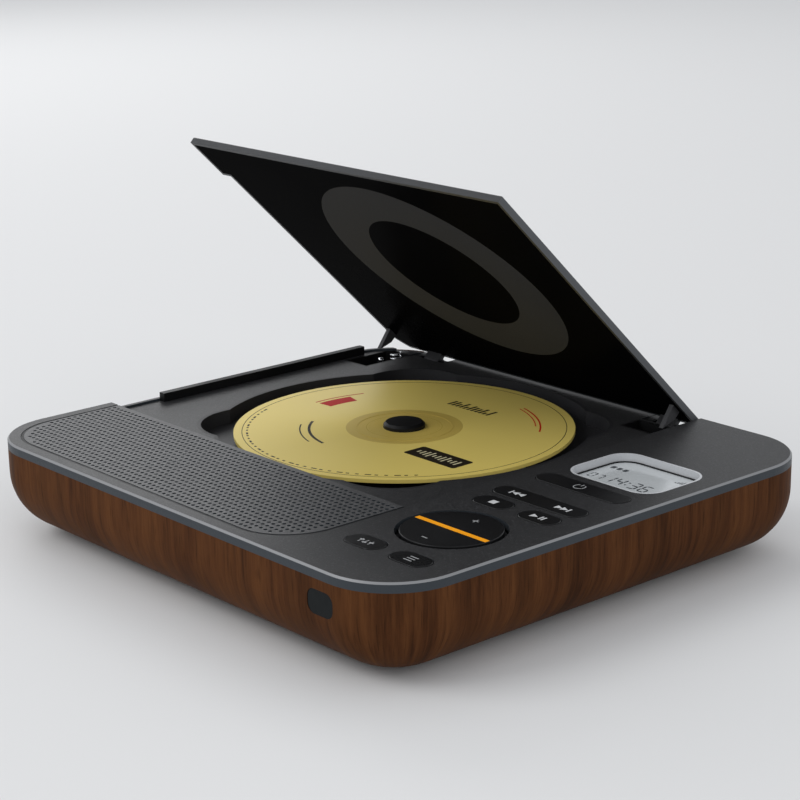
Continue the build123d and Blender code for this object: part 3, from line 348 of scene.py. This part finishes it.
cloth = woven("grille_cloth_black", tone(20, 20, 21))
cone_paper = grained("cone_paper", tone(38, 37, 36), 0.0, 0.85, 900.0, 0.08 * MM)
iron = grained("magnet_iron", tone(54, 54, 56), 0.6, 0.55, 1500.0, 0.05 * MM)
lens = glass("lens_glass", tone(150, 165, 215))
window_gloss = grained("window_gloss", tone(20, 23, 24), 0.0, 0.12, 500.0, 0.001 * MM, specular=0.08)
battery_wrap = grained("battery_wrap", tone(40, 92, 150), 0.0, 0.36, 700.0, 0.02 * MM)

# The material of each CAD node
finishes = {
    paint: ("top_deck",),
    hook_paint: ("lid_stop_hooks",),
    grille_paint: ("speaker_grille",),
    lid_paint: ("lid_panel",),
    wood: ("wood_shell",),
    gloss_black: ("lid_liner",),
    ring_grey: ("lid_ring",),
    plastic: ("bottom_cover", "lid_side_rail", "hinge_cover", "hinge_blocks", "hinge_bay_liners", "turntable_hub",
              "hub_pawls", "pickup_sled", "rear_port_panel", "headphone_jack"),
    well_plastic: ("disc_well",),
    rubber: ("rubber_feet", "mechanism_dampers", "speaker_surrounds"),
    steel: ("cover_screws", "deck_screws", "speaker_frames", "tact_switches", "mechanism_chassis", "spindle_motor",
            "spindle_shaft", "guide_rod", "lead_screw", "sled_motor", "usb_c_socket"),
    spring_steel: ("lid_push_spring", "guide_post"),
    hinge_steel: ("lid_torsion_springs", "lid_hinge_arms", "hinge_pins"),
    gold: ("compact_disc",),
    orange: ("light_bar",),
    lcd_grey: ("lcd_bezel",),
    lcd_glass: ("lcd_panel",),
    button_black: ("power_button", "stop_button", "play_pause_button", "eq_button", "menu_button", "skip_rocker",
                   "volume_rocker"),
    board_green: ("button_board", "main_board", "port_board"),
    chip_black: ("main_board_chips",),
    sleeve: ("main_board_capacitors",),
    cloth: ("grille_cloth",),
    cone_paper: ("speaker_cones",),
    iron: ("speaker_magnets",),
    lens: ("objective_lens",),
    window_gloss: ("infrared_window",),
    battery_wrap: ("battery_pack",),
}
for material, names in finishes.items():
    for name in names:
        slots = nodes[name].data.materials
        if len(slots) == 0:
            slots.append(material)
        for index in range(len(slots)):
            slots[index] = material


# Pieces made from outlines
SHARP_ANGLE = math.radians(35)


def piece(name, mesh, material, body, smooth=False):
    made = bpy.data.objects.new(name, mesh)
    bpy.context.scene.collection.objects.link(made)
    mesh.materials.append(material)
    if smooth:
        for face in mesh.polygons:
            face.use_smooth = True
        mesh.set_sharp_from_angle(angle=SHARP_ANGLE)
    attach(made, body)
    return made


def finished_mesh(name, build):
    bmesh.ops.recalc_face_normals(build, faces=build.faces)
    mesh = bpy.data.meshes.new(name)
    build.to_mesh(mesh)
    build.free()
    return mesh


# Closed flat shapes of one thickness: each outline is a list of (x, y) in turn round the shape
def flat_shapes(name, outlines, low, high, material, body):
    build = bmesh.new()
    for outline in outlines:
        bottom = [build.verts.new((x, y, low)) for x, y in outline]
        top = [build.verts.new((x, y, high)) for x, y in outline]
        build.faces.new(list(reversed(bottom)))
        build.faces.new(top)
        count = len(outline)
        for index in range(count):
            after = (index + 1) % count
            build.faces.new((bottom[index], bottom[after], top[after], top[index]))
    return piece(name, finished_mesh(name, build), material, body)


# A closed band between two outlines of as many points, welded all the way round
def closed_band(name, inner, outer, low, high, material, body, smooth=False):
    build = bmesh.new()
    loops = [[build.verts.new((x, y, height)) for x, y in outline]
             for outline, height in ((inner, low), (outer, low), (outer, high), (inner, high))]
    count = len(inner)
    for index in range(4):
        near, far = loops[index], loops[(index + 1) % 4]
        for step in range(count):
            after = (step + 1) % count
            build.faces.new((near[step], near[after], far[after], far[step]))
    return piece(name, finished_mesh(name, build), material, body, smooth)


def rectangle(x, y, width, depth):
    return [(x - width / 2, y - depth / 2), (x + width / 2, y - depth / 2),
            (x + width / 2, y + depth / 2), (x - width / 2, y + depth / 2)]


def round_rectangle(x, y, width, depth, corner, steps=6):
    points = []
    for sx, sy, start in ((1, 1, 0.0), (-1, 1, 0.5), (-1, -1, 1.0), (1, -1, 1.5)):
        for step in range(steps + 1):
            angle = math.pi * (start + 0.5 * step / steps)
            points.append((x + sx * (width / 2 - corner) + corner * math.cos(angle),
                           y + sy * (depth / 2 - corner) + corner * math.sin(angle)))
    return points


def circle(x, y, radius, steps):
    return [(x + radius * math.cos(2 * math.pi * step / steps), y + radius * math.sin(2 * math.pi * step / steps))
            for step in range(steps)]


# Part of a ring between two radii, as one outline
def arc_band(x, y, inner, outer, start, end, steps):
    angles = [math.radians(start + (end - start) * step / steps) for step in range(steps + 1)]
    near = [(x + inner * math.cos(angle), y + inner * math.sin(angle)) for angle in reversed(angles)]
    far = [(x + outer * math.cos(angle), y + outer * math.sin(angle)) for angle in angles]
    return far + near


def plus_outline(x, y, width, stroke):
    far, near = width / 2, stroke / 2
    points = []
    # Each arm: its two outer corners, then the inner corner before the next arm
    for dx, dy in ((1, 0), (0, 1), (-1, 0), (0, -1)):
        for side, reach in ((-near, far), (near, far), (near, near)):
            points.append((x + dx * reach - dy * side, y + dy * reach + dx * side))
    return points


# Perforated grille plate, cut from a square grid of cells
GRILLE_PITCH_X = 2.22 * MM
GRILLE_PITCH_Y = 2.40 * MM
GRILLE_HOLE = 0.66 * MM
GRILLE_CORNER = 19.85 * MM
GRILLE_EDGE = 0.9 * MM
GRILLE_SEAM = 0.9 * MM
SEAM_DROP = 0.15 * MM
HOLE_SIDES = 12
CELL_MARGIN = 0.2 * MM
WELD = 0.001 * MM
GRILLE_CORNER_STEPS = 16


# The grille's outline from above, drawn in from the solid's edge on its left, front and right
def grille_outline(inset):
    points = []
    radius = GRILLE_CORNER - inset
    for x, start in ((grille_low.x + GRILLE_CORNER, 1.0), (grille_high.x - GRILLE_CORNER, 1.5)):
        for step in range(GRILLE_CORNER_STEPS + 1):
            angle = math.pi * (start + 0.5 * step / GRILLE_CORNER_STEPS)
            points.append(Vector((x + radius * math.cos(angle),
                                  grille_low.y + GRILLE_CORNER + radius * math.sin(angle))))
    points.append(Vector((grille_high.x - inset, grille_high.y)))
    points.append(Vector((grille_low.x + inset, grille_high.y)))
    return points


# How far a point is inside a convex outline that runs anticlockwise: negative outside it
def depth_inside(point, outline):
    depths = []
    for index, first in enumerate(outline):
        second = outline[(index + 1) % len(outline)]
        edge = (second - first).normalized()
        offset = point - first
        depths.append(edge.x * offset.y - edge.y * offset.x)
    return min(depths)


# The part of a polygon that is inside a convex outline
def clipped(polygon, outline):
    for index, first in enumerate(outline):
        second = outline[(index + 1) % len(outline)]
        edge = second - first

        def side(point):
            return edge.x * (point.y - first.y) - edge.y * (point.x - first.x)

        kept = []
        for spot, start in enumerate(polygon):
            end = polygon[(spot + 1) % len(polygon)]
            a, b = side(start), side(end)
            if a >= 0:
                kept.append(start)
            if (a > 0 > b) or (a < 0 < b):
                kept.append(start + (end - start) * (a / (a - b)))
        polygon = kept
        if len(polygon) < 3:
            return []
    return polygon


def perforated_grille():
    outline = grille_outline(GRILLE_SEAM)
    width = grille_high.x - grille_low.x
    depth = grille_high.y - grille_low.y
    columns = int(width / GRILLE_PITCH_X) + 1
    rows = int(depth / GRILLE_PITCH_Y) + 1
    left = grille_low.x + (width - columns * GRILLE_PITCH_X) / 2
    front = grille_low.y + (depth - rows * GRILLE_PITCH_Y) / 2
    quarter = HOLE_SIDES // 4
    angles = [2 * math.pi * (side + 0.5) / HOLE_SIDES - 0.75 * math.pi for side in range(HOLE_SIDES)]
    rim = [GRILLE_HOLE * Vector((math.cos(angle), math.sin(angle))) for angle in angles]
    build = bmesh.new()

    def corners(points, height):
        return [build.verts.new((point.x, point.y, height)) for point in points]

    for row in range(rows):
        for column in range(columns):
            corner = Vector((left + column * GRILLE_PITCH_X, front + row * GRILLE_PITCH_Y))
            centre = corner + Vector((GRILLE_PITCH_X / 2, GRILLE_PITCH_Y / 2))
            square = [corner, corner + Vector((GRILLE_PITCH_X, 0)),
                      corner + Vector((GRILLE_PITCH_X, GRILLE_PITCH_Y)), corner + Vector((0, GRILLE_PITCH_Y))]
            near_edge = depth_inside(centre, outline) < GRILLE_EDGE + GRILLE_HOLE
            if near_edge or min(depth_inside(point, outline) for point in square) < CELL_MARGIN:
                shape = clipped(square, outline)
                if len(shape) > 2:
                    build.faces.new(corners(shape, grille_high.z))
                    build.faces.new(corners(reversed(shape), grille_low.z))
                continue
            hole = [centre + offset for offset in rim]
            top, upper = corners(square, grille_high.z), corners(hole, grille_high.z)
            bottom, lower = corners(square, grille_low.z), corners(hole, grille_low.z)
            for side in range(4):
                after = (side + 1) % 4
                span = [(side * quarter + step) % HOLE_SIDES for step in range(-1, quarter)]
                build.faces.new([top[side], top[after]] + [upper[spot] for spot in reversed(span)])
                build.faces.new([bottom[after], bottom[side]] + [lower[spot] for spot in span])
            for step in range(HOLE_SIDES):
                after = (step + 1) % HOLE_SIDES
                build.faces.new((upper[after], upper[step], lower[step], lower[after]))
    bmesh.ops.remove_doubles(build, verts=build.verts, dist=WELD)
    # The plate's outer wall joins each open edge above to the one below it
    below = {(round(vert.co.x / WELD), round(vert.co.y / WELD)): vert
             for vert in build.verts if vert.co.z < grille_high.z - WELD}
    for edge in [edge for edge in build.edges if edge.is_boundary]:
        first, second = edge.verts
        if min(first.co.z, second.co.z) > grille_high.z - WELD:
            feet = [below.get((round(vert.co.x / WELD), round(vert.co.y / WELD))) for vert in (second, first)]
            if None not in feet:
                build.faces.new((first, second, *feet))
    return piece("perforated_grille", finished_mesh("perforated_grille", build), grille_paint, "base")


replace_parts(perforated_grille(), "speaker_grille")


# A dark strip in the seam between the grille and the deck, on the grille's left, front and right: painted shade
# standing in for the shadowed groove
def grille_seam_painted_shade():
    outer = grille_outline(0.0)
    inner = grille_outline(GRILLE_SEAM)
    line = [outer[-1]] + outer[:-1] + list(reversed(inner[:-1])) + [inner[-1]]
    flat_shapes("grille_seam_painted_shade", [[(point.x, point.y) for point in line]], grille_low.z, grille_high.z - SEAM_DROP,
                plastic, "base")


grille_seam_painted_shade()

# Symbols on the buttons, raised by a film's thickness
INK = 0.03 * MM
BUTTON_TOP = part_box("stop_button")[1].z
SYMBOL = 2.6 * MM
BAR_WIDTH = 0.6 * MM
PLAY_X = -2.0 * MM
PAUSE_BARS = (0.7 * MM, 1.9 * MM)
SKIP_X = 10.2 * MM
SKIP_TRIANGLES = (-1.9 * MM, 0.6 * MM)
SKIP_BAR = 2.3 * MM
POWER_SHIFT = 1.3 * MM
POWER_RING = (1.75 * MM, 2.15 * MM)
POWER_ARC = (125, 415)
POWER_STEM = (0.4 * MM, 1.7 * MM)
POWER_STEM_Y = 1.5 * MM
PLUS_Y = 9.8 * MM
MINUS_DROP = 1.1 * MM
MARK = 2.4 * MM
MARK_WIDTH = 0.4 * MM
# Each slider of the equaliser's symbol: its place across, and its knob's place along
SLIDERS = ((-2.2, 0.6), (0.0, -0.7), (2.2, 0.3))
SLIDER_WIDTH = 0.35 * MM
KNOB = (0.7 * MM, 0.6 * MM)
KNOB_SIDES = (-0.55, 0.55)
MENU_BAR = (3.4 * MM, 0.45 * MM)
MENU_ROWS = (-1.4 * MM, 0.0, 1.4 * MM)


def triangle(x, y, size, direction=1):
    return [(x - direction * size * 0.5, y - size * 0.5), (x + direction * size * 0.5, y),
            (x - direction * size * 0.5, y + size * 0.5)]


def film(name, shapes, top, material, body):
    return flat_shapes(name, shapes, top, top + INK, material, body)


stop = middle("stop_button")
play = middle("play_pause_button")
equaliser = middle("eq_button")
menu = middle("menu_button")
power = middle("power_button")
skip = middle("skip_rocker")
bar = middle("light_bar")

film("stop_symbol", [rectangle(stop.x, stop.y, SYMBOL, SYMBOL)], BUTTON_TOP, symbol_white, "stop")
pause_bars = [rectangle(play.x + offset, play.y, BAR_WIDTH, SYMBOL) for offset in PAUSE_BARS]
film("play_pause_symbol", [triangle(play.x + PLAY_X, play.y, SYMBOL)] + pause_bars,
     BUTTON_TOP, symbol_white, "play_pause")
for label, way in (("previous", -1), ("next", 1)):
    centre_x = skip.x + way * SKIP_X
    shapes = [triangle(centre_x + way * offset, skip.y, SYMBOL, way) for offset in SKIP_TRIANGLES]
    shapes.append(rectangle(centre_x + way * SKIP_BAR, skip.y, BAR_WIDTH, SYMBOL))
    film(label + "_symbol", shapes, BUTTON_TOP, symbol_white, "skip")
power_x = power.x - POWER_SHIFT
film("power_symbol",
     [arc_band(power_x, power.y, *POWER_RING, *POWER_ARC, 22),
      rectangle(power_x, power.y + POWER_STEM_Y, *POWER_STEM)],
     BUTTON_TOP, symbol_dim, "power")
film("volume_symbols",
     [plus_outline(bar.x, bar.y + PLUS_Y, MARK, MARK_WIDTH),
      rectangle(bar.x, bar.y - PLUS_Y - MINUS_DROP, MARK, MARK_WIDTH)],
     BUTTON_TOP, symbol_dim, "volume")
slider_shapes = []
for offset, knob in SLIDERS:
    slider_shapes.append(rectangle(equaliser.x + offset * MM, equaliser.y, SLIDER_WIDTH, SYMBOL))
    for side in KNOB_SIDES:
        slider_shapes.append(rectangle(equaliser.x + (offset + side) * MM, equaliser.y + knob * MM, *KNOB))
film("equaliser_symbol", slider_shapes, BUTTON_TOP, symbol_dim, "eq")
film("menu_symbol", [rectangle(menu.x, menu.y + offset, *MENU_BAR) for offset in MENU_ROWS],
     BUTTON_TOP, symbol_dim, "menu")

# Display digits, each made of seven segments
panel_low, panel_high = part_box("lcd_panel")
SEGMENTS = {"0": "abcdef", "1": "bc", "3": "abgcd", "4": "fgbc", "6": "afgedc", "7": "abc"}
STROKE_SHARE = 0.19
SEGMENT_SHARE = 0.92
DIGIT_ROW = panel_low.y + 10.4 * MM
ICON_ROW = panel_low.y + 19.9 * MM
# Places across the panel, from its left edge, in millimetres
DIGITS = (("1", 10.8), ("4", 15.2), ("3", 21.6), ("6", 26.0))
DIGIT_SIZE = (3.4 * MM, 6.0 * MM)
SMALL_DIGITS = (("0", 3.8), ("7", 7.2))
SMALL_DIGIT_SIZE = (2.4 * MM, 4.2 * MM)
SMALL_DIGIT_DROP = 0.9 * MM
COLON_X = 18.4
COLON_DOT = 0.7 * MM
COLON_ROWS = (-1.2 * MM, 1.2 * MM)
ICONS = (3.5, 6.1, 8.7)
ICON_SIZE = (1.8 * MM, 2.2 * MM)
ICON_CORNER = 0.4 * MM
SIGNAL_X = 28.0
SIGNAL_PITCH = 0.9
SIGNAL_Y = 2.6
SIGNAL_RISE = 0.3
SIGNAL_HEIGHT = 0.7
SIGNAL_WIDTH = 0.5 * MM


def segment(x, y, length, width, upright):
    half, tip = length / 2, width / 2
    points = [(-half, 0.0), (-half + tip, -tip), (half - tip, -tip), (half, 0.0), (half - tip, tip), (-half + tip, tip)]
    if upright:
        points = [(-b, a) for a, b in points]
    return [(x + a, y + b) for a, b in points]


def digit(character, x, y, width, height):
    stroke = width * STROKE_SHARE
    across = width - stroke
    half = height / 2 - stroke / 2
    places = {"a": (0.0, half, 0), "d": (0.0, -half, 0), "g": (0.0, 0.0, 0),
              "b": (across / 2, half / 2, 1), "c": (across / 2, -half / 2, 1),
              "f": (-across / 2, half / 2, 1), "e": (-across / 2, -half / 2, 1)}
    shapes = []
    for key in SEGMENTS[character]:
        dx, dy, upright = places[key]
        length = (half if upright else across) * SEGMENT_SHARE
        shapes.append(segment(x + dx, y + dy, length, stroke, upright))
    return shapes


def panel_x(millimetres):
    return panel_low.x + millimetres * MM


display = []
for character, offset in DIGITS:
    display += digit(character, panel_x(offset), DIGIT_ROW, *DIGIT_SIZE)
for height in COLON_ROWS:
    display.append(rectangle(panel_x(COLON_X), DIGIT_ROW + height, COLON_DOT, COLON_DOT))
for character, offset in SMALL_DIGITS:
    display += digit(character, panel_x(offset), DIGIT_ROW - SMALL_DIGIT_DROP, *SMALL_DIGIT_SIZE)
for offset in ICONS:
    display.append(round_rectangle(panel_x(offset), ICON_ROW, *ICON_SIZE, ICON_CORNER))
for step in range(4):
    display.append(rectangle(panel_x(SIGNAL_X + SIGNAL_PITCH * step), ICON_ROW + (SIGNAL_Y + SIGNAL_RISE * step) * MM,
                             SIGNAL_WIDTH, (SIGNAL_HEIGHT + 2 * SIGNAL_RISE * step) * MM))
film("display_digits", display, panel_high.z, lcd_ink, "base")

# A thin dark gasket where the display meets the wall of its frame
GASKET_WIDTH = 0.7 * MM
GASKET_HEIGHT = 0.3 * MM
PANEL_CORNER = 7.2 * MM


def gasket():
    centre = (panel_low + panel_high) / 2
    width = panel_high.x - panel_low.x
    depth = panel_high.y - panel_low.y
    outer = round_rectangle(centre.x, centre.y, width, depth, PANEL_CORNER)
    inner = round_rectangle(centre.x, centre.y, width - 2 * GASKET_WIDTH, depth - 2 * GASKET_WIDTH,
                            PANEL_CORNER - GASKET_WIDTH)
    closed_band("display_gasket", inner, outer, panel_high.z, panel_high.z + GASKET_HEIGHT, plastic, "base")


gasket()

# Disc: the inner zone, the stacking ridge, the printed line near the edge, and a plain printed pattern
LABEL_TOP = disc_high.z
RING_STEPS = 128
INNER_ZONE = (7.7 * MM, 20.6 * MM)
STACKING_RIDGE = (16.6 * MM, 17.3 * MM)
EDGE_LINE = (56.9 * MM, 57.15 * MM)
DASHES = 36
DASH_BAND = (54.9 * MM, 55.6 * MM)
DASH_START = 203
DASH_PITCH = 3.4
SHORT_DASH, LONG_DASH = 1.2, 2.2
SKYLINE_BARS = 11
SKYLINE_PITCH = 2.0 * MM
SKYLINE_Y = 30.0 * MM
SKYLINE_WIDTH = 1.2 * MM
BLOCK_RADIUS = 38.0 * MM
BLOCK_DEGREES = -24
BLOCK_SIZE = (25.0 * MM, 9.6 * MM)
BLOCK_CORNER = 1.0 * MM
PALE_BARS = 11
PALE_START = -9.5
PALE_PITCH = 1.9
PALE_WIDTH = 0.7 * MM
# Inner and outer radius in millimetres, start and end in degrees, and steps
DARK_ARCS = ((33.0, 34.0, 215, 262, 12), (36.5, 37.0, 222, 255, 10))
RED_ARCS = ((37.5, 43.5, 166, 184, 12), (45.0, 45.6, 158, 184, 12), (47.5, 48.1, 38, 74, 12),
            (45.9, 46.3, 46, 74, 12))


def disc_ring(name, radii, low, high, material):
    inner, outer = (circle(DISC_X, DISC_Y, radius, RING_STEPS) for radius in radii)
    closed_band(name, inner, outer, low, high, material, "turntable", smooth=True)


def disc_arc(inner, outer, start, end, steps):
    return arc_band(DISC_X, DISC_Y, inner * MM, outer * MM, start, end, steps)


# Bars of uneven heights side by side, standing on one line
def skyline():
    shapes = []
    for step in range(SKYLINE_BARS):
        x = DISC_X + (step - (SKYLINE_BARS - 1) / 2) * SKYLINE_PITCH
        tall = (2.2 + 3.4 * abs(math.sin(0.9 + 1.3 * step))) * MM
        shapes.append(rectangle(x, DISC_Y + SKYLINE_Y + tall / 2, SKYLINE_WIDTH, tall))
    return shapes


disc_ring("disc_inner_zone", INNER_ZONE, LABEL_TOP, LABEL_TOP + INK, inner_gold)
disc_ring("disc_stacking_ridge", STACKING_RIDGE, LABEL_TOP + INK, LABEL_TOP + 4 * INK, inner_gold)
disc_ring("disc_edge_line", EDGE_LINE, LABEL_TOP, LABEL_TOP + INK, print_dark)
dark = []
for step in range(DASHES):
    start = DASH_START + DASH_PITCH * step
    length = SHORT_DASH if step % 3 else LONG_DASH
    dark.append(arc_band(DISC_X, DISC_Y, *DASH_BAND, start, start + length, 1))
dark += skyline()
dark += [disc_arc(*arc) for arc in DARK_ARCS]
film("disc_print_dark", dark, LABEL_TOP, print_dark, "turntable")
block_x = DISC_X + BLOCK_RADIUS * math.cos(math.radians(BLOCK_DEGREES))
block_y = DISC_Y + BLOCK_RADIUS * math.sin(math.radians(BLOCK_DEGREES))
film("disc_print_block", [round_rectangle(block_x, block_y, *BLOCK_SIZE, BLOCK_CORNER)], LABEL_TOP,
     print_dark, "turntable")
pale = [rectangle(block_x + (PALE_START + PALE_PITCH * step) * MM, block_y, PALE_WIDTH, (2.0 + (step * 5 % 4)) * MM)
        for step in range(PALE_BARS)]
film("disc_print_pale", pale, LABEL_TOP + INK, print_pale, "turntable")
film("disc_print_red", [disc_arc(*arc) for arc in RED_ARCS], LABEL_TOP, print_red, "turntable")

# Floor, light and camera
FLOOR_SIZE = 12.0
FLOOR_COLOUR = tone(226, 226, 226)
WORLD_COLOUR = tone(228, 230, 233)
WORLD_STRENGTH = 0.86
# Name, place, target, width and height in metres, and power in watts
LAMPS = (("key", (-0.75, -1.45, 1.35), (0, 0, 0.03), 1.3, 1.0, 13.0),
         ("right_fill", (1.7, -0.5, 1.0), (0, 0, 0.03), 1.0, 1.0, 5.0),
         ("left_fill", (-1.5, 0.5, 0.9), (-0.06, -0.07, 0.03), 1.0, 0.7, 5.4))


def floor():
    mesh = bpy.data.meshes.new("floor")
    half = FLOOR_SIZE / 2
    mesh.from_pydata([(-half, -half, 0), (half, -half, 0), (half, half, 0), (-half, half, 0)], [], [(0, 1, 2, 3)])
    made = bpy.data.objects.new("floor", mesh)
    bpy.context.scene.collection.objects.link(made)
    surface = Surface("studio_floor")
    surface.set(Base_Color=FLOOR_COLOUR, Roughness=0.8, Specular_IOR_Level=0.1)
    mesh.materials.append(surface.material)


def studio_world():
    world = bpy.data.worlds.new("studio")
    world.use_nodes = True
    bpy.context.scene.world = world
    background = world.node_tree.nodes["Background"]
    background.inputs["Color"].default_value = WORLD_COLOUR
    background.inputs["Strength"].default_value = WORLD_STRENGTH


def area_light(name, place, target, width, height, power_watts):
    data = bpy.data.lights.new(name, "AREA")
    data.shape = "RECTANGLE"
    data.size = width
    data.size_y = height
    data.energy = power_watts
    made = bpy.data.objects.new(name, data)
    made.location = place
    made.rotation_mode = "QUATERNION"
    made.rotation_quaternion = (Vector(target) - Vector(place)).to_track_quat("-Z", "Y")
    made.visible_camera = False
    bpy.context.scene.collection.objects.link(made)


# The camera as solved from the photo: pixels for the photo's plane, metres for its place
PHOTO_SIZE = 800.0
SENSOR = 36.0
FOCAL_PIXELS = 2172.17
PHOTO_CENTRE = (401.967, 429.971)
CAMERA_PLACE = Vector((0.529304, -0.457349, 0.252127))
CAMERA_RIGHT = Vector((0.66070481, 0.75051158, -0.01419557))
CAMERA_UP = Vector((-0.21023133, 0.20316303, 0.95630935))


def camera():
    data = bpy.data.cameras.new("camera")
    data.sensor_width = SENSOR
    data.lens = FOCAL_PIXELS / PHOTO_SIZE * SENSOR
    data.shift_x = (PHOTO_SIZE / 2 - PHOTO_CENTRE[0]) / PHOTO_SIZE
    data.shift_y = (PHOTO_CENTRE[1] - PHOTO_SIZE / 2) / PHOTO_SIZE
    data.clip_start = 0.01
    made = bpy.data.objects.new("camera", data)
    back = CAMERA_RIGHT.cross(CAMERA_UP)
    turn = Matrix((CAMERA_RIGHT, CAMERA_UP, back)).transposed().to_4x4()
    made.matrix_world = Matrix.Translation(CAMERA_PLACE) @ turn
    bpy.context.scene.collection.objects.link(made)
    bpy.context.scene.camera = made


floor()
studio_world()
for lamp in LAMPS:
    area_light(*lamp)
camera()
bpy.context.scene.view_settings.view_transform = "Standard"
